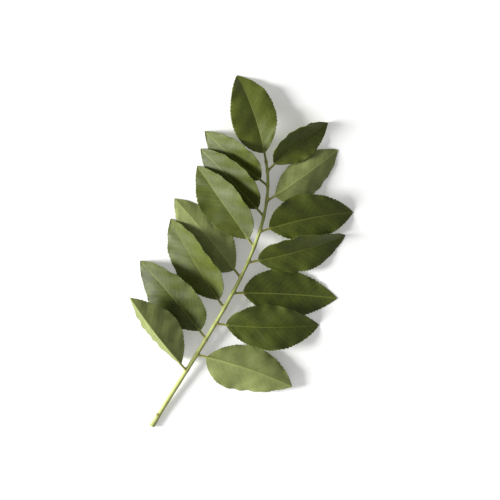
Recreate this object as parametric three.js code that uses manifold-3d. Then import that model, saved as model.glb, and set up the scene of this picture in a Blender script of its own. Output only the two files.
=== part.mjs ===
// A curry leaf sprig as picked, lying on a flat surface: one pinnate leaf with a slender rachis, fourteen
// alternate leaflets and one at its tip. Millimetres, +Z up, the cut end towards -Y.
import * as THREE from "three";
import { mergeVertices } from "three/addons/utils/BufferGeometryUtils.js";
import Module from "manifold-3d";

const wasm = await Module();
wasm.setup();

const LEFT = -1;
const RIGHT = 1;
const UNDER = 180;

// The rachis: a cubic from the cut end to the last node, arched clear of the surface
const CUT_END = [-38.2, -68.2, 1.1];
const LOWER_PULL = [-13.2, -27.2, 3.0];
const UPPER_PULL = [12.3, 6.6, 9.5];
const LAST_NODE = [7.1, 36.1, 5.2];
const BASE_RADIUS = 0.95;
const TIP_RADIUS = 0.55;
const FLARE = 0.2;
const FLARE_LENGTH = 4;
const RACHIS_SIDES = 10;
const RACHIS_STEPS = 40;

// A short knuckle carries each leaflet, and one that dropped left a scar near the cut end
const KNUCKLE_REACH = 0.7;
const KNUCKLE_RADIUS = 0.6;
const KNUCKLE_ROOT_RADIUS = 0.8;
const KNUCKLE_SIDES = 8;
const JOIN_GAP = 0.3;
const SCAR_AT = 5.2;
const SCAR_RADIUS = 0.8;
const SCAR_RISE = 0.35;

// Leaflets stand closer together and at a sharper angle towards the tip, and the longest are below the middle
const FIRST_LEAFLET = 26.2;
const LEAFLET_SPACING = 7.5;
const SPACING_LOSS = 0.065;
const LONGEST = 38;
const LONGEST_PLACE = 4.5;
const LENGTH_LOSS = 0.138;
const TERMINAL_LENGTH = 34;
const WIDTH_RATIO = 0.52;
const FIRST_SPREAD = 72;
const LAST_SPREAD = 46;

// The outline of a blade: its two halves have their own base, blunt and sharp, which makes the base slant
const UPPER_BASE_POWER = 0.6;
const LOWER_BASE_POWER = 0.86;
const TIP_POWER = 0.94;
const UPPER_SHARE = 1.06;
const LOWER_SHARE = 0.94;
const TIP_HALF_WIDTH = 0.35;
const TEETH = 12;
const TOOTH_DEPTH = 0.4;
const TOOTHED_FROM = 1.5;
const COLUMNS = [-1, -0.72, -0.38, 0, 0.38, 0.72, 1];

// The body of a leaflet: a round stalk that thins into the blade and runs on in it as a low midrib
const STALK = 2.3;
const STALK_HALF_WIDTH = 0.5;
const STALK_THICKNESS = 1.0;
const MIDRIB_THICKNESS = 0.95;
const BLADE_THICKNESS = 0.7;
const THINNING_SHARE = 0.12;

// How a blade bends, and how deep its lowest part is pressed flat on the surface
const DROOP_POWER = 1.5;
const CURL_POWER = 2;
const WAVE_OFFSET = 0.35;
const PRESS = 0.6;
const SECTION_STEPS = 8;
const MIDRIB_STEPS = 4;
const LIFT_LIMIT = 60;
const LIFT_HALVINGS = 24;

// How each leaflet lies, from the cut end up, with angles in degrees. broad: its width against the usual.
// swing: change of its spread. clear: height of its lowest part, which is pressed flat where that is below 0.
// bend: sweep towards the sprig's tip. droop: how far its slope falls. roll: turn about the midrib that lifts
// the half nearer the sprig's tip. twist: more of it towards the leaflet's tip. fold and curl: slope of each
// half at the midrib and more of it at the edge, first for the half nearer the sprig's tip in a leaflet that
// lies upper face up. wave: height, count and phase of the edge's waves.
const LEAFLETS = [
  { broad: 1.2, swing: -1, bend: 4, droop: 64, roll: UNDER - 3, twist: -10,
    fold: [80, 9], curl: [4, 6], wave: [0.4, 1.2, 0.1] },
  { broad: 1.1, bend: -14, droop: 28, roll: UNDER - 14, twist: 26,
    fold: [12, 10], curl: [40, 30], wave: [0.8, 1.8, 0.4] },
  { broad: 1.02, bend: -8, droop: 28, roll: 8, twist: 24,
    fold: [10, 14], curl: [24, -28], wave: [0.8, 2.1, 0.7] },
  { bend: 12, droop: 24, roll: 14, twist: -10, fold: [26, 18], curl: [-24, 16], wave: [0.8, 1.7, 0] },
  { bend: 7, droop: 22, roll: 17, twist: 12, fold: [20, 10], curl: [30, -24], wave: [0.8, 2.2, 0.3] },
  { broad: 0.95, clear: -0.7, bend: -6, droop: -12, roll: 4, twist: -4,
    fold: [4, 3], curl: [10, 14], wave: [0.6, 2, 0.6] },
  { swing: 4, bend: -5, droop: 22, roll: UNDER + 12, twist: -18,
    fold: [10, 14], curl: [36, 34], wave: [0.7, 1.6, 0.2] },
  { broad: 0.93, swing: -2, bend: 12, droop: 22, roll: 16, twist: 18,
    fold: [22, 16], curl: [34, -14], wave: [0.8, 1.9, 0.8] },
  { swing: 1, bend: 2, droop: 22, roll: 16, twist: 8, fold: [18, 14], curl: [14, 10], wave: [0.7, 2.3, 0.5] },
  { broad: 1.05, bend: -14, droop: 26, roll: 18, twist: -14,
    fold: [14, 10], curl: [-30, -22], wave: [0.8, 2, 0.1] },
  { broad: 0.92, swing: 2, bend: -4, droop: 18, roll: 18, twist: 8,
    fold: [12, 4], curl: [26, -14], wave: [0.6, 1.8, 0.9] },
  { bend: 8, droop: 24, roll: UNDER - 12, twist: 28, fold: [10, 12], curl: [36, 42], wave: [0.7, 1.7, 0.3] },
  { broad: 0.94, swing: 5, bend: 6, droop: 16, roll: 21, twist: 8,
    fold: [11, 8], curl: [14, -6], wave: [0.6, 2, 0.6] },
  { swing: 4, bend: -14, droop: 22, roll: 14, twist: 14,
    fold: [26, 18], curl: [20, 12], wave: [0.6, 1.9, 0] },
];
const TERMINAL = {
  broad: 1.05, bend: 18, droop: 30, roll: -6, twist: 22,
  fold: [16, 16], curl: [-22, -26], wave: [0.7, 2.1, 0.4],
};

const rachisFinish = new THREE.MeshStandardMaterial({ color: 0xa9b45c, roughness: 0.55, metalness: 0 });
const leafletFinish = new THREE.MeshStandardMaterial({ color: 0x47541c, roughness: 0.6, metalness: 0 });

const radians = THREE.MathUtils.degToRad;
const { lerp, smoothstep } = THREE.MathUtils;
const point = (place) => new THREE.Vector3(...place);
const rachis = new THREE.CubicBezierCurve3(
  point(CUT_END),
  point(LOWER_PULL),
  point(UPPER_PULL),
  point(LAST_NODE),
);
const RACHIS_LENGTH = rachis.getLength();

// Where a leaflet stands and how large it is, from its place in the order
function placed(leaf, i) {
  return {
    ...leaf,
    name: `leaflet_${String(i + 1).padStart(2, "0")}`,
    side: i % 2 ? RIGHT : LEFT,
    at: FIRST_LEAFLET + LEAFLET_SPACING * i - SPACING_LOSS * i ** 2,
    spread: lerp(FIRST_SPREAD, LAST_SPREAD, i / (LEAFLETS.length - 1)) + (leaf.swing ?? 0),
    length: LONGEST - LENGTH_LOSS * (i - LONGEST_PLACE) ** 2,
  };
}

// Forward, leftward and upward directions for a heading and a slope
function axesOf(heading, slope) {
  const level = new THREE.Vector3(Math.cos(heading), Math.sin(heading), 0);
  const left = new THREE.Vector3(-level.y, level.x, 0);
  const forward = level.clone().multiplyScalar(Math.cos(slope)).setZ(Math.sin(slope));
  return { forward, left, up: new THREE.Vector3().crossVectors(forward, left) };
}

function rachisRadius(at) {
  const taper = lerp(BASE_RADIUS, TIP_RADIUS, at / RACHIS_LENGTH);
  return taper + FLARE * Math.max(0, 1 - at / FLARE_LENGTH) ** 2;
}

// The rachis's centre, heading, directions and radius at a distance from the cut end
function rachisAt(at) {
  const share = at / RACHIS_LENGTH;
  const tangent = rachis.getTangentAt(share);
  const heading = Math.atan2(tangent.y, tangent.x);
  const axes = axesOf(heading, Math.asin(tangent.z));
  return { centre: rachis.getPointAt(share), heading, radius: rachisRadius(at), ...axes };
}

// A closed cylinder carried along the rachis
function stemGeometry() {
  const stem = new THREE.CylinderGeometry(1, 1, 1, RACHIS_SIDES, RACHIS_STEPS);
  const position = stem.getAttribute("position");
  for (let i = 0; i < position.count; i++) {
    const { centre, left, up, radius } = rachisAt((0.5 - position.getY(i)) * RACHIS_LENGTH);
    centre.addScaledVector(left, position.getX(i) * radius).addScaledVector(up, position.getZ(i) * radius);
    position.setXYZ(i, ...centre);
  }
  return stem;
}

// A short tapered knuckle from the rachis's centreline out to where a leaflet's stalk starts
function knuckleGeometry(leaf) {
  const { centre, heading, radius } = rachisAt(leaf.at);
  const reach = radius + KNUCKLE_REACH;
  const knuckle = new THREE.CylinderGeometry(KNUCKLE_RADIUS, KNUCKLE_ROOT_RADIUS, reach, KNUCKLE_SIDES);
  const { forward } = axesOf(heading - leaf.side * radians(leaf.spread), restingLift(leaf));
  const turn = new THREE.Quaternion().setFromUnitVectors(new THREE.Vector3(0, 1, 0), forward);
  return knuckle.translate(0, reach / 2, 0).applyQuaternion(turn).translate(...centre);
}

// The scar is a low round boss on the upper left of the rachis
function scarGeometry() {
  const { centre, left, up, radius } = rachisAt(SCAR_AT);
  const outward = left.clone().add(up).normalize();
  centre.addScaledVector(outward, radius + SCAR_RISE - SCAR_RADIUS);
  return new THREE.SphereGeometry(SCAR_RADIUS, 8, 6).translate(...centre);
}

function solidOf(geometry) {
  const bare = geometry.clone();
  bare.deleteAttribute("normal");
  bare.deleteAttribute("uv");
  const merged = mergeVertices(bare);
  const vertProperties = merged.getAttribute("position").array;
  const triVerts = new Uint32Array(merged.index.array);
  return new wasm.Manifold(new wasm.Mesh({ numProp: 3, vertProperties, triVerts }));
}

function geometryOf(solid) {
  const { vertProperties, triVerts } = solid.getMesh();
  const geometry = new THREE.BufferGeometry();
  geometry.setAttribute("position", new THREE.BufferAttribute(vertProperties, 3));
  return geometry.setIndex(new THREE.BufferAttribute(triVerts, 1));
}

// The rachis with its knuckles and scar in one body, with nothing below the surface that it lies on
function rachisGeometry(leaves) {
  let solid = solidOf(stemGeometry()).add(solidOf(scarGeometry()));
  for (const leaf of leaves) solid = solid.add(solidOf(knuckleGeometry(leaf)));
  const depth = 10;
  const reach = 4 * RACHIS_LENGTH;
  const below = new THREE.BoxGeometry(reach, reach, depth).translate(0, 0, -depth / 2);
  return geometryOf(solid.subtract(solidOf(below)));
}

// Distances along a leaflet that have a row of points: the stalk's two, then one at each tooth and each notch
function stationsOf(leaf) {
  const blade = Array.from({ length: 2 * TEETH + 1 }, (_, k) => {
    const share = k / (2 * TEETH);
    return { distance: STALK + share * leaf.length, share, tooth: k % 2 ? 0.5 : -0.5 };
  });
  return [{ distance: 0, share: 0, tooth: 0 }, { distance: STALK / 2, share: 0, tooth: 0 }, ...blade];
}

// A row's place on the midrib, with the directions across the blade and out of its upper face. The midrib
// starts at the slope called lift.
function midribOf(leaf, lift) {
  const { centre, heading, radius } = rachisAt(leaf.at);
  const start = heading - leaf.side * radians(leaf.spread);
  const whole = STALK + leaf.length;
  const headingAt = (share) => start + leaf.side * radians(leaf.bend) * share;
  const slopeAt = (share) => lift - radians(leaf.droop) * share ** DROOP_POWER;
  centre.addScaledVector(axesOf(start, lift).forward, radius + KNUCKLE_REACH + JOIN_GAP);
  let done = 0;
  return stationsOf(leaf).map((station) => {
    const step = (station.distance - done) / MIDRIB_STEPS;
    for (let i = 0; i < MIDRIB_STEPS; i++) {
      const share = (done + (i + 0.5) * step) / whole;
      centre.addScaledVector(axesOf(headingAt(share), slopeAt(share)).forward, step);
    }
    done = station.distance;
    const share = done / whole;
    const { left, up } = axesOf(headingAt(share), slopeAt(share));
    const tipward = left.multiplyScalar(leaf.side);
    const roll = radians(leaf.roll + leaf.twist * share);
    const across = tipward.clone().multiplyScalar(Math.cos(roll)).addScaledVector(up, Math.sin(roll));
    const normal = up.clone().multiplyScalar(Math.cos(roll)).addScaledVector(tipward, -Math.sin(roll));
    return { ...station, centre: centre.clone(), across, normal };
  });
}

// Half the blade's width at a share of its length. Half 0 is the one nearer the sprig's tip in a leaflet that
// lies upper face up.
function halfWidth(leaf, share, half) {
  const basePower = half === 0 ? UPPER_BASE_POWER : LOWER_BASE_POWER;
  const widest = basePower / (basePower + TIP_POWER);
  const swell = (share / widest) ** basePower * ((1 - share) / (1 - widest)) ** TIP_POWER;
  const usual = (leaf.length * WIDTH_RATIO * (half === 0 ? UPPER_SHARE : LOWER_SHARE)) / 2;
  return Math.max(lerp(STALK_HALF_WIDTH, TIP_HALF_WIDTH, share), (leaf.broad ?? 1) * usual * swell);
}

// A point of the blade's middle surface: out from the midrib on a section that folds, curls and waves
function bladePoint(leaf, station, column) {
  const half = column < 0 ? 1 : 0;
  const edge = halfWidth(leaf, station.share, half);
  const toothed = Math.abs(column) === 1 && edge > TOOTHED_FROM;
  const distance = Math.abs(column) * edge + (toothed ? TOOTH_DEPTH * station.tooth : 0);
  const halfBlade = (leaf.length * WIDTH_RATIO) / 2;
  const step = distance / SECTION_STEPS;
  let out = 0;
  let rise = 0;
  for (let i = 0; i < SECTION_STEPS; i++) {
    const reach = ((i + 0.5) * step) / halfBlade;
    const slope = radians(leaf.fold[half] + leaf.curl[half] * (0.5 + station.share) * reach ** CURL_POWER);
    out += Math.cos(slope) * step;
    rise += Math.sin(slope) * step;
  }
  const [height, count, phase] = leaf.wave;
  const turn = count * station.share + phase + half * WAVE_OFFSET;
  rise += height * Math.sin(2 * Math.PI * turn) * (distance / halfBlade) ** 2;
  const place = station.centre.clone().addScaledVector(station.across, half === 0 ? out : -out);
  return place.addScaledVector(station.normal, rise);
}

const middleSurface = (leaf, lift) =>
  midribOf(leaf, lift).map((station) => COLUMNS.map((column) => bladePoint(leaf, station, column)));

// The slope at which a leaflet leaves the rachis so that its lowest part just presses on the surface
function restingLift(leaf) {
  const target = (leaf.clear ?? -PRESS) + BLADE_THICKNESS / 2;
  let low = -radians(LIFT_LIMIT);
  let high = radians(LIFT_LIMIT);
  for (let i = 0; i < LIFT_HALVINGS; i++) {
    const lift = (low + high) / 2;
    const lowest = Math.min(...middleSurface(leaf, lift).flat().map((place) => place.z));
    if (lowest > target) high = lift;
    else low = lift;
  }
  return low;
}

// Both faces of the blade, row by row: the middle surface moved half a thickness each way, and raised where
// it would pass through the surface that the sprig lies on
function facesOf(leaf) {
  const rows = middleSurface(leaf, restingLift(leaf));
  const shares = stationsOf(leaf).map((station) => station.share);
  const nextTo = (list, i) => [list[Math.max(i - 1, 0)], list[Math.min(i + 1, list.length - 1)]];
  const upper = [];
  const lower = [];
  rows.forEach((row, i) => {
    const thinned = smoothstep(shares[i], 0, THINNING_SHARE);
    row.forEach((place, j) => {
      const thinnest = COLUMNS[j] === 0 ? MIDRIB_THICKNESS : BLADE_THICKNESS;
      const half = lerp(STALK_THICKNESS, thinnest, thinned) / 2;
      const [before, after] = nextTo(rows, i).map((other) => other[j]);
      const [inner, outer] = nextTo(row, j);
      const normal = after.clone().sub(before).cross(outer.clone().sub(inner));
      normal.multiplyScalar(leaf.side).normalize();
      const above = place.clone().addScaledVector(normal, half);
      const under = place.clone().addScaledVector(normal, -half);
      const raise = Math.max(0, -above.z, -under.z);
      upper.push(above.setZ(above.z + raise));
      lower.push(under.setZ(under.z + raise));
    });
  });
  return { upper, lower, rows: rows.length };
}

// A leaflet as one closed body, split alike on both faces so that they never cross
function leafletGeometry(leaf) {
  const { upper, lower, rows } = facesOf(leaf);
  const wide = COLUMNS.length;
  const under = upper.length;
  const triangles = [];
  const quad = (a, b, c, d) => triangles.push([a, b, c], [a, c, d]);
  for (let i = 0; i + 1 < rows; i++) {
    const here = i * wide;
    const next = here + wide;
    for (let j = 0; j + 1 < wide; j++) {
      quad(here + j, next + j, next + j + 1, here + j + 1);
      const [a, b, c, d] = [here + j, next + j, next + j + 1, here + j + 1].map((corner) => corner + under);
      triangles.push([a, c, b], [a, d, c]);
    }
    const [edge, nextEdge] = [here + wide - 1, next + wide - 1];
    quad(here, here + under, next + under, next);
    quad(nextEdge, nextEdge + under, edge + under, edge);
  }
  const tip = (rows - 1) * wide;
  for (let j = 0; j + 1 < wide; j++) {
    quad(j, j + 1, j + 1 + under, j + under);
    quad(tip + j + 1, tip + j, tip + j + under, tip + j + 1 + under);
  }
  const outward = leaf.side === RIGHT ? triangles : triangles.map(([a, b, c]) => [a, c, b]);
  return new THREE.BufferGeometry().setFromPoints([...upper, ...lower]).setIndex(outward.flat());
}

function named(name, geometry, finish) {
  const mesh = new THREE.Mesh(geometry, finish);
  mesh.name = name;
  return mesh;
}

const leaves = LEAFLETS.map(placed);
leaves.push({
  ...TERMINAL,
  name: "terminal_leaflet",
  side: RIGHT,
  at: RACHIS_LENGTH,
  spread: 0,
  length: TERMINAL_LENGTH,
});
const sprig = new THREE.Group();
sprig.add(named("rachis", rachisGeometry(leaves), rachisFinish));
for (const leaf of leaves) sprig.add(named(leaf.name, leafletGeometry(leaf), leafletFinish));

// The origin is on the surface, under the middle of the sprig's outline
const middle = new THREE.Box3().setFromObject(sprig).getCenter(new THREE.Vector3());
sprig.position.set(-middle.x, -middle.y, 0);

export default sprig;
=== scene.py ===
"""The looks of a curry leaf sprig that lies on a pale surface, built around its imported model."""

import math

import bpy
import mathutils.kdtree
import numpy as np
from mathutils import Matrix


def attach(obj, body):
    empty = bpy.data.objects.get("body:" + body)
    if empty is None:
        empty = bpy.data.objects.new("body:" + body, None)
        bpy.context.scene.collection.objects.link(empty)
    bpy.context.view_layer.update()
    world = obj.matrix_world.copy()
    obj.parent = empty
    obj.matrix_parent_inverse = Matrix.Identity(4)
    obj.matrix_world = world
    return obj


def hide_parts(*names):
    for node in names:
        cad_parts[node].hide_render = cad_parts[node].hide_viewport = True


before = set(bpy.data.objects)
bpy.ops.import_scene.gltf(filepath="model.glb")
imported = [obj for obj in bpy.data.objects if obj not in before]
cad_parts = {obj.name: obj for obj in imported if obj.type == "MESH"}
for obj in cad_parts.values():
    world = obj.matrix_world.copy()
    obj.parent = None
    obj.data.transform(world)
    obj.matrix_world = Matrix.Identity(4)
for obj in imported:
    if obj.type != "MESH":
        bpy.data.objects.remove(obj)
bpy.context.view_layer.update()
bpy.ops.object.select_all(action="DESELECT")

# Camera: it looks straight down, with the cut end of the sprig at the pixel where the photograph has it, and
# a pixel is as large at the sprig as it is there.
MM = 0.001
CUT_END = (-38.2, -68.2, 1.1)
OUTLINE_MIDDLE = (-2.2458, 1.2654)
PHOTO_MIDDLE = 250
PIXEL = 0.397 * MM
CUT_END_PIXEL = (152, 426)
CAMERA_HEIGHT = 0.62
SENSOR = 36

camera_x = (CUT_END[0] - OUTLINE_MIDDLE[0]) * MM - (CUT_END_PIXEL[0] - PHOTO_MIDDLE) * PIXEL
camera_y = (CUT_END[1] - OUTLINE_MIDDLE[1]) * MM + (CUT_END_PIXEL[1] - PHOTO_MIDDLE) * PIXEL
bpy.ops.object.camera_add(location=(camera_x, camera_y, CAMERA_HEIGHT), rotation=(0, 0, 0))
camera = bpy.context.object
camera.data.sensor_width = SENSOR
camera.data.lens = SENSOR * CAMERA_HEIGHT / (2 * PHOTO_MIDDLE * PIXEL)
bpy.context.scene.camera = camera

# Studio: a white surface that glows faintly, as a light table does, a soft lamp low at the left, a weak one
# lower still at the lower left, and even light from all round. The picture shows colours as they are.
SURFACE_SIZE = 6.0
SURFACE_DROP = 0.05 * MM
KEY_PLACE = (-1.55, -0.10, 0.74)
KEY_SIZE = 0.5
KEY_POWER = 47.5
FILL_PLACE = (-0.60, -0.55, 0.10)
FILL_SIZE = 0.5
FILL_POWER = 5.0
ROOM_LIGHT = 0.34
SURFACE_COLOUR = (0.86, 0.86, 0.85, 1)
SURFACE_GLOW = 0.2
SURFACE_ROUGHNESS = 0.8
WHITE = (1, 1, 1, 1)


def add_lamp(name, place, size, power):
    bpy.ops.object.light_add(type="AREA", location=place)
    lamp = bpy.context.object
    lamp.name = name
    lamp.data.size = size
    lamp.data.energy = power
    lamp.rotation_euler = (-lamp.location).to_track_quat("-Z", "Y").to_euler()


add_lamp("key_lamp", KEY_PLACE, KEY_SIZE, KEY_POWER)
add_lamp("fill_lamp", FILL_PLACE, FILL_SIZE, FILL_POWER)
world = bpy.data.worlds.new("room")
world.use_nodes = True
world.node_tree.nodes["Background"].inputs["Color"].default_value = WHITE
world.node_tree.nodes["Background"].inputs["Strength"].default_value = ROOM_LIGHT
bpy.context.scene.world = world
bpy.context.scene.view_settings.view_transform = "Standard"

bpy.ops.mesh.primitive_plane_add(size=SURFACE_SIZE, location=(0, 0, -SURFACE_DROP))
surface = bpy.context.object
surface.name = "surface"
surface_finish = bpy.data.materials.new("pale_surface")
surface_finish.use_nodes = True
surface_shader = surface_finish.node_tree.nodes["Principled BSDF"]
surface_shader.inputs["Base Color"].default_value = SURFACE_COLOUR
surface_shader.inputs["Roughness"].default_value = SURFACE_ROUGHNESS
surface_shader.inputs["Emission Color"].default_value = WHITE
surface_shader.inputs["Emission Strength"].default_value = SURFACE_GLOW
surface.data.materials.append(surface_finish)

# Course of the rachis: the line along which the slender stem grew, arched clear of the surface under it, and
# the places where its leaflets stand, left and right in turn, closer together towards the tip.
LOWER_PULL = (-13.2, -27.2, 3.0)
UPPER_PULL = (12.3, 6.6, 9.5)
LAST_NODE = (7.1, 36.1, 5.2)
COURSE_POINTS = 4001
BASE_RADIUS = 0.95
TIP_RADIUS = 0.55
FLARE = 0.2
FLARE_LENGTH = 4
LEFT = -1
RIGHT = 1
FIRST_LEAFLET = 26.2
LEAFLET_SPACING = 7.5
SPACING_LOSS = 0.065
FIRST_SPREAD = 72
LAST_SPREAD = 46

share = np.linspace(0, 1, COURSE_POINTS)[:, None]
pulls = [np.array(place) for place in (CUT_END, LOWER_PULL, UPPER_PULL, LAST_NODE)]
course = (1 - share) ** 3 * pulls[0] + 3 * share * (1 - share) ** 2 * pulls[1]
course += 3 * share**2 * (1 - share) * pulls[2] + share**3 * pulls[3]
course -= (*OUTLINE_MIDDLE, 0)
course_length = np.concatenate([[0], np.cumsum(np.linalg.norm(np.diff(course, axis=0), axis=1))])
course_tangent = np.gradient(course, course_length, axis=0)
RACHIS_LENGTH = course_length[-1]


def read_along(values, marks, at):
    """Rows of three values, read at distances between the marks at which they are given."""
    return np.stack([np.interp(at, marks, values[:, axis]) for axis in range(3)], axis=-1)


def rachis_at(at):
    """Centre, heading and slope of the rachis at distances from the cut end."""
    tangent = read_along(course_tangent, course_length, at)
    tangent /= np.linalg.norm(tangent, axis=-1, keepdims=True)
    heading = np.arctan2(tangent[..., 1], tangent[..., 0])
    return read_along(course, course_length, at), heading, np.arcsin(tangent[..., 2])


def axes_of(heading, slope):
    """Forward, leftward and upward directions for headings and slopes."""
    heading, slope = np.broadcast_arrays(heading, slope)
    level = [np.cos(heading) * np.cos(slope), np.sin(heading) * np.cos(slope), np.sin(slope)]
    forward = np.stack(level, axis=-1)
    left = np.stack([-np.sin(heading), np.cos(heading), np.zeros(heading.shape)], axis=-1)
    return forward, left, np.cross(forward, left)


def rachis_radius(at):
    taper = BASE_RADIUS + (TIP_RADIUS - BASE_RADIUS) * at / RACHIS_LENGTH
    return taper + FLARE * np.maximum(0, 1 - at / FLARE_LENGTH) ** 2


# Leaflets: thin leathery blades on short stalks, dark and satiny above, pale and dull below, with a raised
# midrib, a net of veins and a finely toothed edge. As picked they twist, fold and wave, and four lie turned
# over. They grew from knuckles of the rachis.
UNDER = 180

# How each leaflet lies, from the cut end up, with angles in degrees. broad: its width against the usual.
# swing: change of its spread. clear: height of its lowest part, which is pressed flat where that is below 0.
# bend: sweep towards the sprig's tip. droop: how far its slope falls. roll: turn about the midrib that lifts
# the half nearer the sprig's tip. twist: more of it towards the leaflet's tip. fold and curl: slope of each
# half at the midrib and more of it at the edge, first for the half nearer the sprig's tip in a leaflet that
# lies upper face up. wave: height, count and phase of the edge's waves.
LEAFLETS = [
    dict(broad=1.2, swing=-1, bend=4, droop=64, roll=UNDER - 3, twist=-10,
         fold=(80, 9), curl=(4, 6), wave=(0.4, 1.2, 0.1)),
    dict(broad=1.1, bend=-14, droop=28, roll=UNDER - 14, twist=26,
         fold=(12, 10), curl=(40, 30), wave=(0.8, 1.8, 0.4)),
    dict(broad=1.02, bend=-8, droop=28, roll=8, twist=24,
         fold=(10, 14), curl=(24, -28), wave=(0.8, 2.1, 0.7)),
    dict(bend=12, droop=24, roll=14, twist=-10, fold=(26, 18), curl=(-24, 16), wave=(0.8, 1.7, 0)),
    dict(bend=7, droop=22, roll=17, twist=12, fold=(20, 10), curl=(30, -24), wave=(0.8, 2.2, 0.3)),
    dict(broad=0.95, clear=-0.7, bend=-6, droop=-12, roll=4, twist=-4,
         fold=(4, 3), curl=(10, 14), wave=(0.6, 2, 0.6)),
    dict(swing=4, bend=-5, droop=22, roll=UNDER + 12, twist=-18,
         fold=(10, 14), curl=(36, 34), wave=(0.7, 1.6, 0.2)),
    dict(broad=0.93, swing=-2, bend=12, droop=22, roll=16, twist=18,
         fold=(22, 16), curl=(34, -14), wave=(0.8, 1.9, 0.8)),
    dict(swing=1, bend=2, droop=22, roll=16, twist=8,
         fold=(18, 14), curl=(14, 10), wave=(0.7, 2.3, 0.5)),
    dict(broad=1.05, bend=-14, droop=26, roll=18, twist=-14,
         fold=(14, 10), curl=(-30, -22), wave=(0.8, 2, 0.1)),
    dict(broad=0.92, swing=2, bend=-4, droop=18, roll=18, twist=8,
         fold=(12, 4), curl=(26, -14), wave=(0.6, 1.8, 0.9)),
    dict(bend=8, droop=24, roll=UNDER - 12, twist=28,
         fold=(10, 12), curl=(36, 42), wave=(0.7, 1.7, 0.3)),
    dict(broad=0.94, swing=5, bend=6, droop=16, roll=21, twist=8,
         fold=(11, 8), curl=(14, -6), wave=(0.6, 2, 0.6)),
    dict(swing=4, bend=-14, droop=22, roll=14, twist=14,
         fold=(26, 18), curl=(20, 12), wave=(0.6, 1.9, 0)),
]
TERMINAL = dict(broad=1.05, bend=18, droop=30, roll=-6, twist=22,
                fold=(16, 16), curl=(-22, -26), wave=(0.7, 2.1, 0.4))
LONGEST = 38
LONGEST_PLACE = 4.5
LENGTH_LOSS = 0.138
TERMINAL_LENGTH = 34
WIDTH_RATIO = 0.52
BASE_POWERS = (0.6, 0.86)
TIP_POWER = 0.94
WIDTH_SHARES = (1.06, 0.94)
STALK = 2.3
KNUCKLE_REACH = 0.7
JOIN_GAP = 0.3
DROOP_POWER = 1.5
CURL_POWER = 2
CURL_AT_BASE = 0.5
WAVE_OFFSET = 0.35
PRESS = 0.6
SOLID_THICKNESS = 0.7
SECTION_STEPS = 10
MIDRIB_STEPS = 400
LIFT_LIMIT = math.radians(60)
LIFT_HALVINGS = 22
LIFT_ROWS = 26
LIFT_COLUMNS = 9

STALK_RADIUS = 0.44
STALK_ROWS = 12
STALK_INTO_KNUCKLE = 0.4
TIP_HALF_WIDTH = 0.1
BLADE_THICKNESS = 0.34
EDGE_ROUNDING = 0.22
HALF_COLUMNS = 26
COLUMN_CROWDING = 0.8

# Teeth point to the leaflet's tip. They shift and change in size along the edge, each at its own pace.
TEETH = 28
ROWS_PER_TOOTH = 8
TOOTH_DEPTH = 0.32
TOOTH_FULL_WIDTH = 2.5
TOOTH_START = 0.25
TOOTH_CREST = 0.78
TOOTH_MIDDLE = 0.6
TOOTH_INNER_POWER = 14
TOOTH_SHIFT = 0.3
TOOTH_SHIFT_PACE = 0.9
TOOTH_SHIFT_OFFSET = 2.0
TOOTH_CHANGE = 0.35
TOOTH_CHANGE_PACE = 19

# The midrib is a round bar that thins towards the tip and flattens where the blade begins.
RIB_THINNING = 1.6
RIB_TIP_RADIUS = 0.07
RIB_FLATTENING = 12
RIB_BELOW = 0.62
RIB_ABOVE = 0.36
RIB_FOOT = 0.6

# The blade is quilted between its side veins, swells unevenly and ripples at its edge. Each pair of swells
# has its pace along the blade and across it.
VEIN_SPACING = 2.5
VEIN_LEAN = 0.62
VEIN_SWEEP = 0.045
VEIN_STAGGER = 0.5
RELIEF_ONSET = 8
QUILTING = 0.016
QUILT_MIDDLE = 0.6
QUILT_FULL_REACH = 1.5
QUILT_EDGE_POWER = 4
UNEVENNESS = 0.22
FIRST_SWELLS = (0.55, 2.2)
SECOND_SWELLS = (0.21, 3.1)
SWELL_FULL_REACH = 4
EDGE_RIPPLE = 0.2
RIPPLES = 6.5
RIPPLE_OFFSET = 1.9
RIPPLE_EDGE_POWER = 6
RIPPLE_FULL_WIDTH = 5
SEED = 20


def placed(i, leaf):
    """A leaflet with its name, place, spread and length, from its place in the order."""
    spread = FIRST_SPREAD + (LAST_SPREAD - FIRST_SPREAD) * i / (len(LEAFLETS) - 1) + leaf.get("swing", 0)
    at = FIRST_LEAFLET + LEAFLET_SPACING * i - SPACING_LOSS * i**2
    length = LONGEST - LENGTH_LOSS * (i - LONGEST_PLACE) ** 2
    side = (LEFT, RIGHT)[i % 2]
    return leaf | dict(name=f"leaflet_{i + 1:02d}", side=side, at=at, spread=spread, length=length)


def knuckle_line(leaf, lift):
    """Where a leaflet springs from the rachis's centreline, and its heading and directions there."""
    centre, heading, _ = rachis_at(leaf["at"])
    start = heading - leaf["side"] * math.radians(leaf["spread"])
    return centre, start, axes_of(start, lift)


def midrib_of(leaf, lift, distances):
    """Places on a leaflet's centreline, with the directions across the blade and out of its upper face."""
    whole = STALK + leaf["length"]
    root, start, (outward, _, _) = knuckle_line(leaf, lift)
    root = root + outward * (rachis_radius(leaf["at"]) + KNUCKLE_REACH + JOIN_GAP)

    def axes_at(shares):
        heading = start + leaf["side"] * math.radians(leaf["bend"]) * shares
        return axes_of(heading, lift - math.radians(leaf["droop"]) * shares**DROOP_POWER)

    marks = np.linspace(0, whole, MIDRIB_STEPS + 1)
    steps = axes_at((marks[1:] + marks[:-1]) / 2 / whole)[0] * (whole / MIDRIB_STEPS)
    line = np.concatenate([[root], root + np.cumsum(steps, axis=0)])
    centres = read_along(line, marks, distances) + outward * np.minimum(distances, 0)[:, None]
    shares = np.clip(distances / whole, 0, 1)
    _, left, up = axes_at(shares)
    tipward = left * leaf["side"]
    roll = np.radians(leaf["roll"] + leaf["twist"] * shares)[:, None]
    across = tipward * np.cos(roll) + up * np.sin(roll)
    return centres, across, up * np.cos(roll) - tipward * np.sin(roll)


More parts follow.
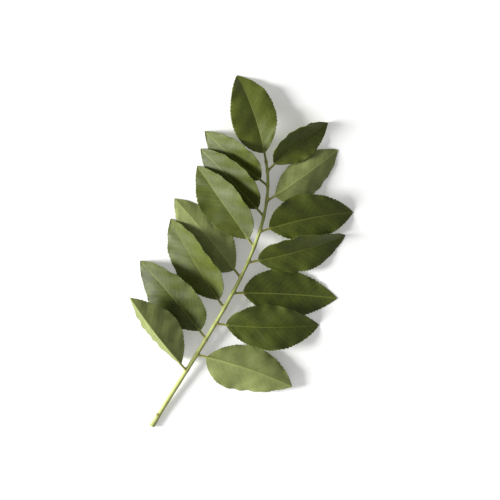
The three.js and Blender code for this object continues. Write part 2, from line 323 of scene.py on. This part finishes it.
def by_half(columns, pair):
    """The first of a pair for columns on one half, the second for the other. With the upper face up, the
    first is for the half nearer the sprig's tip."""
    return np.where(columns < 0, pair[1], pair[0])


def half_widths(leaf, shares, columns):
    """Half the blade's width at shares of its length, on the half that each column is in."""
    power = by_half(columns, BASE_POWERS)
    widest = power / (power + TIP_POWER)
    swell = (shares / widest) ** power * ((1 - shares) / (1 - widest)) ** TIP_POWER
    usual = leaf["length"] * WIDTH_RATIO / 2 * by_half(columns, WIDTH_SHARES)
    most = usual * leaf.get("broad", 1)
    return np.maximum(STALK_RADIUS + (TIP_HALF_WIDTH - STALK_RADIUS) * shares, most * swell)


def sections_of(leaf, lift, distances, columns, teeth=0):
    """The middle surface of a leaflet, row by row, and how far each point is from the midrib on it. columns
    runs from -1 at one edge to 1 at the other, and teeth is added to that distance."""
    centres, across, normal = midrib_of(leaf, lift, distances)
    shares = np.clip((distances - STALK) / leaf["length"], 0, 1)[:, None]
    columns = columns[None, :]
    reach = np.abs(columns) * half_widths(leaf, shares, columns) + teeth
    half_blade = leaf["length"] * WIDTH_RATIO / 2
    fold = by_half(columns, leaf["fold"])
    curl = by_half(columns, leaf["curl"]) * (CURL_AT_BASE + shares)
    out, rise = np.zeros(reach.shape), np.zeros(reach.shape)
    for i in range(SECTION_STEPS):
        slope = np.radians(fold + curl * ((i + 0.5) / SECTION_STEPS * reach / half_blade) ** CURL_POWER)
        out += np.cos(slope) * reach / SECTION_STEPS
        rise += np.sin(slope) * reach / SECTION_STEPS
    height, count, phase = leaf["wave"]
    turns = count * shares + phase + by_half(columns, (0, WAVE_OFFSET))
    rise += height * np.sin(2 * np.pi * turns) * (reach / half_blade) ** 2
    out = np.where(columns < 0, -out, out)[..., None]
    return centres[:, None] + across[:, None] * out + normal[:, None] * rise[..., None], reach


def resting_lift(leaf):
    """The slope at which a leaflet leaves the rachis so that its lowest part just presses on the surface."""
    distances = np.linspace(0, STALK + leaf["length"], LIFT_ROWS)
    columns = np.linspace(-1, 1, LIFT_COLUMNS)
    low, high = -LIFT_LIMIT, LIFT_LIMIT
    for _ in range(LIFT_HALVINGS):
        lift = (low + high) / 2
        lowest = sections_of(leaf, lift, distances, columns)[0][..., 2].min()
        if lowest > leaf.get("clear", -PRESS) + SOLID_THICKNESS / 2:
            high = lift
        else:
            low = lift
    return low


def bulge(distance, radius):
    """Half the thickness of a round bar at a distance from its middle."""
    return np.sqrt(np.maximum(radius**2 - distance**2, 0))


def vein_turns(along, reach):
    """Counts the side veins: it is whole on each of them. It works on numbers and on shader values."""
    return (along - reach * VEIN_LEAN - reach * reach * VEIN_SWEEP) / VEIN_SPACING


def leaflet_grid(leaf):
    """Distances of a leaflet's rows from the foot of its stalk, and its columns, from -1 at one edge to 1 at
    the other. They crowd at the midrib and the edges."""
    shares = np.linspace(0, 1, TEETH * ROWS_PER_TOOTH + 1)
    stalk = np.linspace(-JOIN_GAP - STALK_INTO_KNUCKLE, STALK, STALK_ROWS, endpoint=False)
    distances = np.concatenate([stalk, STALK + shares * leaf["length"]])
    spread = np.linspace(0, 1, HALF_COLUMNS + 1)
    spread = spread - COLUMN_CROWDING * np.sin(2 * np.pi * spread) / (2 * np.pi)
    return distances, np.concatenate([-spread[:0:-1], spread])


def teeth_of(shares, columns, width, phases):
    """How far the toothed edge stands out from a plain one."""
    wander = shares * TEETH * TOOTH_SHIFT_PACE + phases[0] + (columns < 0) * TOOTH_SHIFT_OFFSET
    turn = (shares * TEETH + TOOTH_SHIFT * np.sin(wander)) % 1
    climb = np.minimum(turn / TOOTH_CREST, (1 - turn) / (1 - TOOTH_CREST))
    tooth = np.sin(np.pi / 2 * climb) - TOOTH_MIDDLE
    tooth *= 1 + TOOTH_CHANGE * np.sin(shares * TOOTH_CHANGE_PACE + phases[3])
    tooth *= TOOTH_DEPTH * np.clip(width / TOOTH_FULL_WIDTH - TOOTH_START, 0, 1)
    return tooth


def relief_of(shares, columns, width, along, reach, phases):
    """How far the blade's middle surface stands out from an even one."""
    outermost = np.abs(columns)
    onward = np.clip(shares * RELIEF_ONSET, 0, 1)
    veins = np.abs(np.sin(np.pi * (vein_turns(along, reach) + VEIN_STAGGER * (columns < 0))))
    relief = QUILTING * (veins - QUILT_MIDDLE) * np.clip(reach / QUILT_FULL_REACH, 0, 1)
    relief = relief * (1 - outermost**QUILT_EDGE_POWER) * onward
    first = np.sin(along * FIRST_SWELLS[0] + phases[1] + columns * FIRST_SWELLS[1])
    second = np.sin(columns * SECOND_SWELLS[1] + along * SECOND_SWELLS[0] + phases[2])
    relief = relief + UNEVENNESS * (first * second) * np.clip(reach / SWELL_FULL_REACH, 0, 1) * onward
    ripple = np.sin(2 * np.pi * RIPPLES * shares + phases[3] + (columns < 0) * RIPPLE_OFFSET)
    ripple = EDGE_RIPPLE * ripple * outermost**RIPPLE_EDGE_POWER
    return relief + ripple * np.clip(width / RIPPLE_FULL_WIDTH, 0, 1)


def half_thicknesses(shares, outermost, width, reach):
    """How far the lower and the upper face stand off the blade's middle surface."""
    inward = np.clip((width * (1 - outermost)) / EDGE_ROUNDING, 0, 1)
    blade = BLADE_THICKNESS / 2 * np.sqrt(1 - (1 - inward) ** 2)
    rib = STALK_RADIUS * (1 - shares) ** RIB_THINNING + RIB_TIP_RADIUS
    rib = bulge(reach, np.where(shares > 0, rib, STALK_RADIUS))
    flatten = np.clip(shares * RIB_FLATTENING, 0, 1)
    below = rib * (1 - flatten * (1 - RIB_BELOW)) + np.minimum(blade, reach) * RIB_FOOT * flatten
    above = rib * (1 - flatten * (1 - RIB_ABOVE))
    closed = outermost < 1
    return np.maximum(below, blade) * closed, np.maximum(above, blade) * closed


def leaflet_rows(leaf, lift, phases, tone):
    """Rows of points round a leaflet, its upper face first, with the named values that its finish reads."""
    distances, columns = leaflet_grid(leaf)
    shares = np.clip((distances - STALK) / leaf["length"], 0, 1)[:, None]
    outermost = np.abs(columns)
    width = half_widths(leaf, shares, columns[None, :])
    teeth = teeth_of(shares, columns, width, phases) * outermost**TOOTH_INNER_POWER
    middle, reach = sections_of(leaf, lift, distances, columns, teeth)

    along = np.broadcast_to(distances[:, None] - STALK, reach.shape)
    normal = np.cross(np.gradient(middle, axis=0), np.gradient(middle, axis=1)) * leaf["side"]
    normal /= np.linalg.norm(normal, axis=-1, keepdims=True)
    middle = middle + normal * relief_of(shares, columns, width, along, reach, phases)[..., None]
    below, above = half_thicknesses(shares, outermost, width, reach)
    upper = middle + normal * above[..., None]
    lower = middle - normal * below[..., None]
    raised = np.maximum(0, -np.minimum(upper[..., 2], lower[..., 2]))
    upper[..., 2] += raised
    lower[..., 2] += raised

    signed = reach * np.where(columns < 0, -1, 1)
    edgeward = np.broadcast_to(outermost, reach.shape)
    from_tip = np.broadcast_to(STALK + leaf["length"] - distances[:, None], reach.shape)
    places = np.stack([along, signed, edgeward], axis=-1)
    tones = np.full(reach.shape, tone)
    faces = []
    for face, under in ((upper, 0.0), (lower, 1.0)):
        side = np.broadcast_to(np.where(outermost < 1, under, 0.5), reach.shape)
        marks = np.stack([side, tones, from_tip], axis=-1)
        faces.append(np.concatenate([face, places, marks], axis=-1))
    whole = np.concatenate([faces[0], faces[1][:, -2:0:-1]], axis=1)
    return np.split(whole, 3, axis=-1)


MERGE_DISTANCE = 1e-7


def sleeve(name, rows, **values):
    """A mesh from rows of points round a piece, in millimetres, with named values at the same points. Its
    first and last row shrink to a point, so it is closed once what meets is merged."""
    def wrapped(points):
        return np.concatenate([points, points[:, :1]], axis=1)

    closed = wrapped(rows)
    closed[0] = rows[0].mean(axis=0)
    closed[-1] = rows[-1].mean(axis=0)
    bpy.ops.mesh.primitive_grid_add(x_subdivisions=rows.shape[1], y_subdivisions=rows.shape[0] - 1)
    piece = bpy.context.object
    piece.name = name
    piece.data.name = name
    piece.data.vertices.foreach_set("co", (closed * MM).ravel())
    for title, points in values.items():
        note(piece, title, wrapped(points))
    bpy.ops.object.mode_set(mode="EDIT")
    bpy.ops.mesh.select_all(action="SELECT")
    bpy.ops.mesh.remove_doubles(threshold=MERGE_DISTANCE)
    bpy.ops.mesh.normals_make_consistent(inside=False)
    bpy.ops.object.mode_set(mode="OBJECT")
    bpy.ops.object.shade_smooth()
    for layer in list(piece.data.uv_layers):
        piece.data.uv_layers.remove(layer)
    return piece


def note(piece, title, values):
    """Three named values at each point of a mesh, for its finish to read."""
    attribute = piece.data.attributes.new(title, "FLOAT_VECTOR", "POINT")
    attribute.data.foreach_set("vector", values.astype(np.float32).ravel())


def tint(red, green, blue):
    """A colour given as a picture's 0 to 255 values, as the linear light that a shader takes."""
    shares = [value / 255 for value in (red, green, blue)]
    linear = [value / 12.92 if value <= 0.04045 else ((value + 0.055) / 1.055) ** 2.4 for value in shares]
    return (*linear, 1)


class Strand:
    """A shader value. Arithmetic on it adds Math nodes, and node() adds any other node."""

    def __init__(self, tree, socket=None):
        self.tree = tree
        self.socket = socket

    def node(self, kind, settings, sockets, output=0):
        """Adds a node: its settings first, then the values or links of its sockets by name or number."""
        made = self.tree.nodes.new(kind)
        for title, value in settings.items():
            setattr(made, title, value)
        for title, value in sockets.items():
            if isinstance(value, Strand):
                self.tree.links.new(value.socket, made.inputs[title])
            else:
                made.inputs[title].default_value = value
        return Strand(self.tree, made.outputs[output])

    def math(self, operation, *values):
        return self.node("ShaderNodeMath", {"operation": operation}, dict(enumerate(values)))

    def __add__(self, other):
        return self.math("ADD", self, other)

    def __radd__(self, other):
        return self.math("ADD", other, self)

    def __sub__(self, other):
        return self.math("SUBTRACT", self, other)

    def __rsub__(self, other):
        return self.math("SUBTRACT", other, self)

    def __mul__(self, other):
        return self.math("MULTIPLY", self, other)

    def __rmul__(self, other):
        return self.math("MULTIPLY", other, self)

    def __truediv__(self, other):
        return self.math("DIVIDE", self, other)

    def __pow__(self, other):
        return self.math("POWER", self, other)

    def __abs__(self):
        return self.math("ABSOLUTE", self)

    def rising(self, low, high):
        """0 below low and 1 above high, with a smooth step between."""
        settings = {"interpolation_type": "SMOOTHSTEP"}
        return self.node("ShaderNodeMapRange", settings, {0: self, 1: low, 2: high, 3: 0.0, 4: 1.0})

    def falling(self, low, high):
        """1 below low and 0 above high, with a smooth step between."""
        return 1 - self.rising(low, high)

    def noted(self, title):
        """The three values that a mesh holds under a name."""
        return self.node("ShaderNodeAttribute", {"attribute_name": title}, {}, 1)

    def parts(self):
        """The three numbers of a vector."""
        return [self.node("ShaderNodeSeparateXYZ", {}, {0: self}, output) for output in range(3)]

    def stretched(self, x, y, z):
        return self.node("ShaderNodeVectorMath", {"operation": "MULTIPLY"}, {0: self, 1: (x, y, z)})

    def noise(self, scale, detail=3.0):
        return self.node("ShaderNodeTexNoise", {}, {"Vector": self, "Scale": scale, "Detail": detail})

    def cells(self, scale, feature="F1"):
        """Distance from the middle or the edge of the cell that a place is in, on a flat pattern of cells."""
        settings = {"voronoi_dimensions": "2D", "feature": feature}
        return self.node("ShaderNodeTexVoronoi", settings, {"Vector": self, "Scale": scale})

    def blend(self, first, second):
        """A colour between two, by this value."""
        settings = {"data_type": "RGBA"}
        return self.node("ShaderNodeMix", settings, {0: self, 6: first, 7: second}, 2)


# Skin of both plant parts: how it shines, and how far red, green and blue light travel in it, in millimetres.
SHINE = 0.34
SCATTER_RADII = (0.6, 1.0, 0.2)


def finish(name, scatter):
    """A new material with its constants set. Gives it, its main shader and a strand that starts its nodes."""
    material = bpy.data.materials.new(name)
    material.use_nodes = True
    shader = material.node_tree.nodes["Principled BSDF"]
    shader.inputs["Specular IOR Level"].default_value = SHINE
    shader.inputs["Subsurface Weight"].default_value = scatter
    shader.inputs["Subsurface Radius"].default_value = SCATTER_RADII
    shader.inputs["Subsurface Scale"].default_value = MM
    return material, shader, Strand(material.node_tree)


def shader_in(shader, title, strand):
    strand.tree.links.new(strand.socket, shader.inputs[title])


def bump(height, strength, distance):
    """Surface directions turned by a height, where a height of 1 stands for a distance in millimetres."""
    sockets = {"Strength": strength, "Distance": distance * MM, "Height": height}
    return height.node("ShaderNodeBump", {}, sockets)


# Marks of the leaf skin. Pairs are where a mark begins and where it is full or gone, mostly in millimetres.
# Scales are how many patches, cells or grains there are in a millimetre.
LEAF_SCATTER = 0.05
FACE_STEP = (0.4, 0.6)
PATCH_SCALE = 0.16
PATCH_STEP = (0.3, 0.7)
MOTTLE_SCALE = 0.9
LEAF_GRAIN_SCALE = 9.0
STALK_FADE = (0.0, 1.8)
STALK_FLANK = (0.45, 1.0)
STALK_COVER = 0.85
VEIN_WANDER = 0.5
VEIN_EDGE_POWER = 3.0
SIDE_VEIN_FLANK = (0.06, 0.26)
MIDRIB_FLANK = (0.1, 0.4)
MIDRIB_THINNING = 0.006
NET_SCALE = 1.1
NET_FLANK = (0.02, 0.14)
GLAND_SCALE = 1.7
GLAND_FLANK = (0.1, 0.2)
MARGIN_STEP = (0.93, 1.0)
DRIED_FADE = (0.7, 1.5)
DRIED_RAGGED = 1.2
DRIED_BOW = 0.8
DRIED_COVER = 0.8

# Each face has its colours, and how much each mark covers there. Oil glands are pale above and dark below.
UPPER_FACE = dict(dark=tint(53, 62, 10), light=tint(74, 84, 18), young=tint(96, 106, 32),
                  shade=tint(40, 48, 6), vein=tint(108, 120, 44), rib=tint(138, 146, 66),
                  young_cover=0.6, mottle_step=(0.35, 0.75), mottle_cover=0.25, dark_glands=0.0,
                  pale_glands=0.2, net_cover=0.07, vein_cover=0.2, margin_cover=0.2, rib_cover=0.5)
LOWER_FACE = dict(dark=tint(103, 112, 57), light=tint(125, 134, 75), young=tint(150, 160, 99),
                  shade=tint(82, 91, 42), vein=tint(146, 154, 93), rib=tint(156, 160, 92),
                  young_cover=0.4, mottle_step=(0.4, 0.8), mottle_cover=0.2, dark_glands=0.24,
                  pale_glands=0.0, net_cover=0.12, vein_cover=0.2, margin_cover=0.2, rib_cover=0.6)
STALK_COLOUR = tint(132, 134, 58)
DRIED_TIP = tint(96, 72, 34)
LEAF_ROUGHNESS = dict(least=0.46, under=0.16, mottle=0.16, grain=0.06)
LEAF_RELIEF = dict(side_vein=0.18, net=0.07, grain=0.3, glands=0.14, mottle=0.2)
LEAF_BUMP = dict(strength=0.6, distance=0.16)


def face_colour(face, broad, tone, mottle, marks):
    """Colour of one face of the blade: its patches first, then what darkens it, then its veins."""
    colour = broad.rising(*PATCH_STEP).blend(face["dark"], face["light"])
    colour = (tone * face["young_cover"]).blend(colour, face["young"])
    dark = mottle.rising(*face["mottle_step"]) * face["mottle_cover"] + marks["glands"] * face["dark_glands"]
    colour = dark.blend(colour, face["shade"])
    pale = marks["net"] * face["net_cover"] + marks["side_vein"] * face["vein_cover"]
    pale = pale + marks["glands"] * face["pale_glands"] + marks["margin"] * face["margin_cover"]
    colour = pale.blend(colour, face["vein"])
    return (marks["midrib"] * face["rib_cover"]).blend(colour, face["rib"])


def leaflet_finish():
    """Leaf skin: it reads each point's place on the blade, in millimetres, and which face it is on."""
    material, shader, start = finish("leaf_skin", LEAF_SCATTER)
    place = start.noted("blade_place")
    along, signed, edgeward = place.parts()
    under, tone, from_tip = start.noted("blade_marks").parts()
    under = under.rising(*FACE_STEP)
    reach = abs(signed)
    stalky = along.falling(*STALK_FADE) * reach.falling(*STALK_FLANK)
    broad = place.noise(PATCH_SCALE)
    mottle = place.noise(MOTTLE_SCALE)
    grain = place.noise(LEAF_GRAIN_SCALE)

    other_half = signed.math("LESS_THAN", signed, 0.0)
    turns = vein_turns(along, reach) + other_half * VEIN_STAGGER + (broad - 0.5) * VEIN_WANDER
    beside = 0.5 - abs(turns.math("FRACT", turns) - 0.5)
    side_vein = (beside * VEIN_SPACING).falling(*SIDE_VEIN_FLANK) * (1 - edgeward**VEIN_EDGE_POWER)
    cells = place.cells(NET_SCALE, "DISTANCE_TO_EDGE")
    marks = dict(side_vein=side_vein * (1 - stalky),
                 net=cells.falling(*NET_FLANK) * (1 - stalky),
                 glands=place.cells(GLAND_SCALE).falling(*GLAND_FLANK) * (1 - stalky),
                 midrib=reach.falling(MIDRIB_FLANK[0], MIDRIB_FLANK[1] - along * MIDRIB_THINNING),
                 margin=edgeward.rising(*MARGIN_STEP))
    dried = (from_tip + broad * DRIED_RAGGED + (1 - edgeward) * DRIED_BOW).falling(*DRIED_FADE)

    upper, lower = [face_colour(face, broad, tone, mottle, marks) for face in (UPPER_FACE, LOWER_FACE)]
    colour = under.blend(upper, lower)
    colour = (stalky * STALK_COVER).blend(colour, STALK_COLOUR)
    colour = (dried * DRIED_COVER).blend(colour, DRIED_TIP)
    shader_in(shader, "Base Color", colour)
    roughness = LEAF_ROUGHNESS["least"] + under * LEAF_ROUGHNESS["under"]
    roughness = roughness + (mottle - 0.5) * LEAF_ROUGHNESS["mottle"] + grain * LEAF_ROUGHNESS["grain"]
    shader_in(shader, "Roughness", roughness)

    veins = marks["side_vein"] * LEAF_RELIEF["side_vein"] + marks["net"] * LEAF_RELIEF["net"]
    height = (under * 2 - 1) * veins + grain * LEAF_RELIEF["grain"]
    height = height + marks["glands"] * LEAF_RELIEF["glands"] + mottle * LEAF_RELIEF["mottle"]
    shader_in(shader, "Normal", bump(height, **LEAF_BUMP))
    return material


leaf_skin = leaflet_finish()
draws = np.random.default_rng(SEED)
leaves = [placed(i, leaf) for i, leaf in enumerate(LEAFLETS)]
terminal = dict(name="terminal_leaflet", side=RIGHT, at=RACHIS_LENGTH, spread=0, length=TERMINAL_LENGTH)
leaves.append(TERMINAL | terminal)
lifts = [resting_lift(leaf) for leaf in leaves]
for leaf, lift in zip(leaves, lifts):
    phases = draws.uniform(0, 2 * math.pi, 4)
    points, places, marks = leaflet_rows(leaf, lift, phases, draws.uniform(0, 1))
    piece = sleeve(f"{leaf['name']}_blade", points, blade_place=places, blade_marks=marks)
    piece.data.materials.append(leaf_skin)
    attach(piece, "root")
    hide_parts(leaf["name"])

# Rachis: the green stem itself. It grew as one piece, with a shallow groove along its right side, a knuckle
# under each leaflet and the scar of one that dropped, and was cut slightly aslant at its base.
KNUCKLE_ROOT_RADIUS = 0.8
KNUCKLE_RADIUS = 0.52
KNUCKLE_FLARE = 1.5
KNUCKLE_ROUNDING_START = 0.86
KNUCKLE_ROUNDING = 0.16
KNUCKLE_ROWS = 16
KNUCKLE_SIDES = 28
SCAR_AT = 5.2
SCAR_RADIUS = 0.8
SCAR_RISE = 0.35
SCAR_SEGMENTS = 24
SCAR_RINGS = 16
GROOVE_TURN = 1.0
GROOVE_HALF_ANGLE = 0.5
GROOVE_DEPTH = 0.16
NODE_SWELL = 0.1
NODE_LENGTH = 1.4
CUT_SLANT = 0.2
CUT_BEVEL = 0.1
STEM_END_RADIUS = 0.1
STEM_SWELLS = ((0.03, 0.7, 0), (0.02, 1.9, 1))
STEM_ROWS = 520
STEM_SIDES = 40
REMESH_SIZE = 0.16
SMOOTHING = 0.5
SMOOTHING_ROUNDS = 5


def hump(distance, length):
    """1 where there is no distance, falling off smoothly over a length."""
    return np.exp(-((distance / length) ** 2))


def round_rows(centres, left, up, radius, turn):
    """Rows of points round a line, from the turn of each off upward, towards the right."""
    outward = np.cos(turn)[:, None] * up[:, None] - np.sin(turn)[:, None] * left[:, None]
    return centres[:, None] + outward * radius[..., None]


def stem_rows():
    """Rows of points round the stem, from its slanting, bevelled cut to its thin end."""
    at = np.linspace(CUT_BEVEL, RACHIS_LENGTH, STEM_ROWS)
    radius = rachis_radius(at)
    for leaf in leaves:
        radius = radius + NODE_SWELL * hump(at - leaf["at"], NODE_LENGTH)
    for height, pace, phase in STEM_SWELLS:
        radius = radius + height * np.sin(at * pace + phase)
    at = np.concatenate([[0, 0], at, [RACHIS_LENGTH]])
    radius = np.concatenate([[STEM_END_RADIUS, radius[0] - CUT_BEVEL], radius, [STEM_END_RADIUS]])
    turn = np.linspace(0, 2 * np.pi, STEM_SIDES, endpoint=False)
    off_groove = (turn - GROOVE_TURN + np.pi) % (2 * np.pi) - np.pi
    radius = radius[:, None] * (1 - GROOVE_DEPTH * hump(off_groove, GROOVE_HALF_ANGLE))
    centres, heading, slope = rachis_at(at)
    forward, left, up = axes_of(heading, slope)
    slanted = np.clip(1 - at / FLARE_LENGTH, 0, 1)[:, None] * radius * np.sin(turn) * CUT_SLANT
    return round_rows(centres, left, up, radius, turn) + forward[:, None] * slanted[..., None]


def knuckle_rows(leaf, lift):
    """Rows of points round a leaflet's knuckle, from the rachis's centreline to its round end."""
    centre, _, (outward, left, up) = knuckle_line(leaf, lift)
    reach = np.linspace(0, rachis_radius(leaf["at"]) + KNUCKLE_REACH + JOIN_GAP, KNUCKLE_ROWS)
    level = (reach / reach[-1])[:, None]
    radius = KNUCKLE_RADIUS + (KNUCKLE_ROOT_RADIUS - KNUCKLE_RADIUS) * (1 - level) ** KNUCKLE_FLARE
    ending = np.clip((level - KNUCKLE_ROUNDING_START) / KNUCKLE_ROUNDING, 0, 1)
    radius = radius * np.sqrt(1 - ending**2) * np.ones(KNUCKLE_SIDES)
    turn = np.linspace(0, 2 * np.pi, KNUCKLE_SIDES, endpoint=False)
    axes = [np.broadcast_to(axis, (KNUCKLE_ROWS, 3)) for axis in (left, up)]
    return round_rows(centre + outward * reach[:, None], *axes, radius, turn)


def scar_line():
    """The rachis's centre at the scar, and the direction in which the scar faces."""
    centre, heading, slope = rachis_at(SCAR_AT)
    _, left, up = axes_of(heading, slope)
    return centre, (left + up) / np.linalg.norm(left + up)


stem = sleeve("rachis_stem", stem_rows())
bodies = [stem]
for leaf, lift in zip(leaves, lifts):
    bodies.append(sleeve("knuckle", knuckle_rows(leaf, lift)))
scar_centre, scar_facing = scar_line()
scar_depth = rachis_radius(SCAR_AT) + SCAR_RISE - SCAR_RADIUS
bpy.ops.mesh.primitive_uv_sphere_add(
    segments=SCAR_SEGMENTS, ring_count=SCAR_RINGS, radius=SCAR_RADIUS * MM)
bpy.context.object.location = (scar_centre + scar_facing * scar_depth) * MM
bpy.ops.object.transform_apply(location=True, rotation=True, scale=True)
bodies.append(bpy.context.object)

bpy.ops.object.select_all(action="DESELECT")
for body in bodies:
    body.select_set(True)
bpy.context.view_layer.objects.active = stem
bpy.ops.object.join()
remesh = stem.modifiers.new("grown_together", "REMESH")
remesh.mode = "VOXEL"
remesh.voxel_size = REMESH_SIZE * MM
bpy.ops.object.modifier_apply(modifier=remesh.name)
smooth = stem.modifiers.new("softened", "SMOOTH")
smooth.factor = SMOOTHING
smooth.iterations = SMOOTHING_ROUNDS
bpy.ops.object.modifier_apply(modifier=smooth.name)
bpy.ops.object.shade_smooth()

# Marks of the stem. Those of the nodes and the cut are in millimetres, and those of the knuckles and the
# scar are shares of the radius there.
KNUCKLE_MARK_START = 1.1
KNUCKLE_MARK_FADE = 0.6
NODE_MARK_LENGTH = 1.1
NODE_MARK = 0.5
CUT_MARK_LENGTH = 0.25
CUT_MARK_RIM = 0.12
SCAR_MARK_REACH = 1.25


def above_surface(piece):
    """Presses a mesh flat where it is below the surface, and gives its points in millimetres."""
    points = np.empty(3 * len(piece.data.vertices))
    piece.data.vertices.foreach_get("co", points)
    points = points.reshape(-1, 3) / MM
    points[:, 2] = np.maximum(points[:, 2], 0)
    piece.data.vertices.foreach_set("co", (points * MM).ravel())
    return points


def course_places(points):
    """How far along the rachis each point is."""
    tree = mathutils.kdtree.KDTree(COURSE_POINTS)
    for i, place in enumerate(course):
        tree.insert(place, i)
    tree.balance()
    return course_length[np.array([tree.find(point)[1] for point in points])]


def mark_stem(points):
    """Gives the finish each point's place on the rachis, and what is there."""
    along = course_places(points)
    centres, heading, slope = rachis_at(along)
    _, left, up = axes_of(heading, slope)
    offset = points - centres
    aside = (offset * left).sum(axis=1)
    above = (offset * up).sum(axis=1)
    note(stem, "stem_place", np.stack([aside, above, along], axis=-1))

    # Mask of the groove along the stem's right side, where only painted shade goes: its colour darkens the
    # groove as shade would.
    groove_painted_shade_mask = hump(np.arctan2(-aside, above) - GROOVE_TURN, GROOVE_HALF_ANGLE)
    from_node = np.abs(along[:, None] - np.array([leaf["at"] for leaf in leaves])).min(axis=1)
    from_centre = np.linalg.norm(offset, axis=1)
    knuckled = np.clip((from_centre / rachis_radius(along) - KNUCKLE_MARK_START) / KNUCKLE_MARK_FADE, 0, 1)
    near_node = np.maximum(hump(from_node, NODE_MARK_LENGTH) * NODE_MARK, knuckled)
    from_rim = rachis_radius(0) - from_centre
    cut = np.clip(1 - along / CUT_MARK_LENGTH, 0, 1) * np.clip(from_rim / CUT_MARK_RIM, 0, 1)
    note(stem, "stem_marks", np.stack([groove_painted_shade_mask, near_node, cut], axis=-1))

    scar_place = scar_centre + scar_facing * rachis_radius(SCAR_AT)
    from_scar = np.linalg.norm(points - scar_place, axis=1)
    scarred = np.clip(SCAR_MARK_REACH - from_scar / SCAR_RADIUS, 0, 1)
    note(stem, "stem_scar", np.stack([scarred, scarred, from_centre / rachis_radius(0)], axis=-1))


mark_stem(above_surface(stem))

# Skin of the stem. Streaks are stretched along it, with scales across, across and along it.
STEM_SCATTER = 0.06
STREAK_SCALES = (2.4, 2.4, 0.14)
STREAK_DETAIL = 4.0
STREAK_STEP = (0.42, 0.7)
FINE_STREAK_SCALES = (9.0, 9.0, 0.4)
FINE_STREAK_STEP = (0.5, 0.8)
BLOTCH_SCALES = (0.5, 0.5, 0.22)
BLOTCH_STEP = (0.5, 0.75)
STEM_GRAIN_SCALE = 7.0
BASE_FADE = (2.0, 16.0)
YOUNG_FADE = (45.0, 115.0)
SCAR_STEP = (0.05, 0.5)
RING_STEP = (0.55, 0.85)
CUT_STEP = (0.1, 0.6)
STEM_COVER = dict(streaks=0.5, fine_streaks=0.2, blotches=0.35, groove_shade=0.6, node=0.45, streaked_node=0.5,
                  scar=0.85)
STEM_ROUGHNESS = dict(least=0.42, streaks=0.12, cut=0.3, scar=0.2)
STEM_RELIEF = dict(fine_streaks=0.6, grain=0.25, streaks=0.5)
STEM_BUMP = dict(strength=0.5, distance=0.15)
STEM_LIT = tint(190, 198, 120)
STEM_YOUNG = tint(160, 172, 84)
STEM_BASE = tint(188, 194, 126)
STEM_STREAK = tint(126, 134, 62)
# Painted shade: the olive of the groove along the stem's right side stands in for the shade that falls in it.
GROOVE_PAINTED_SHADE = tint(104, 106, 46)
NODE_COLOUR = tint(126, 112, 56)
SCAR_COLOUR = tint(150, 132, 72)
CUT_COLOUR = tint(206, 200, 158)
CUT_RING = tint(128, 116, 70)


def rachis_finish():
    """Stem skin: streaked along its length, with painted shade in the groove along its right side, and
    browner at the nodes, the scar and round the cut.
    """
    material, shader, start = finish("stem_skin", STEM_SCATTER)
    place = start.noted("stem_place")
    _, _, along = place.parts()
    groove_shade, node, cut = start.noted("stem_marks").parts()
    scar, _, outward = start.noted("stem_scar").parts()
    streaks = place.stretched(*STREAK_SCALES).noise(1.0, STREAK_DETAIL)
    fine_streaks = place.stretched(*FINE_STREAK_SCALES).noise(1.0)
    blotches = place.stretched(*BLOTCH_SCALES).noise(1.0)
    grain = place.noise(STEM_GRAIN_SCALE)

    colour = along.rising(*BASE_FADE).blend(STEM_BASE, STEM_LIT)
    colour = along.rising(*YOUNG_FADE).blend(colour, STEM_YOUNG)
    streaked = streaks.rising(*STREAK_STEP) * STEM_COVER["streaks"]
    streaked = streaked + fine_streaks.rising(*FINE_STREAK_STEP) * STEM_COVER["fine_streaks"]
    colour = streaked.blend(colour, STEM_STREAK)
    colour = (blotches.rising(*BLOTCH_STEP) * STEM_COVER["blotches"]).blend(colour, STEM_YOUNG)
    # Painted shade: the groove along the stem's right side is darkened as shade would darken it.
    colour = (groove_shade * STEM_COVER["groove_shade"]).blend(colour, GROOVE_PAINTED_SHADE)
    browned = node * (STEM_COVER["node"] + streaks * STEM_COVER["streaked_node"])
    colour = browned.blend(colour, NODE_COLOUR)
    colour = (scar.rising(*SCAR_STEP) * STEM_COVER["scar"]).blend(colour, SCAR_COLOUR)
    pith = outward.rising(*RING_STEP).blend(CUT_COLOUR, CUT_RING)
    colour = cut.rising(*CUT_STEP).blend(colour, pith)
    shader_in(shader, "Base Color", colour)
    roughness = STEM_ROUGHNESS["least"] + streaks * STEM_ROUGHNESS["streaks"]
    roughness = roughness + cut * STEM_ROUGHNESS["cut"] + scar * STEM_ROUGHNESS["scar"]
    shader_in(shader, "Roughness", roughness)
    height = fine_streaks * STEM_RELIEF["fine_streaks"] + grain * STEM_RELIEF["grain"]
    height = height + streaks * STEM_RELIEF["streaks"]
    shader_in(shader, "Normal", bump(height, **STEM_BUMP))
    return material


stem.data.materials.clear()
stem.data.materials.append(rachis_finish())
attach(stem, "root")
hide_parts("rachis")
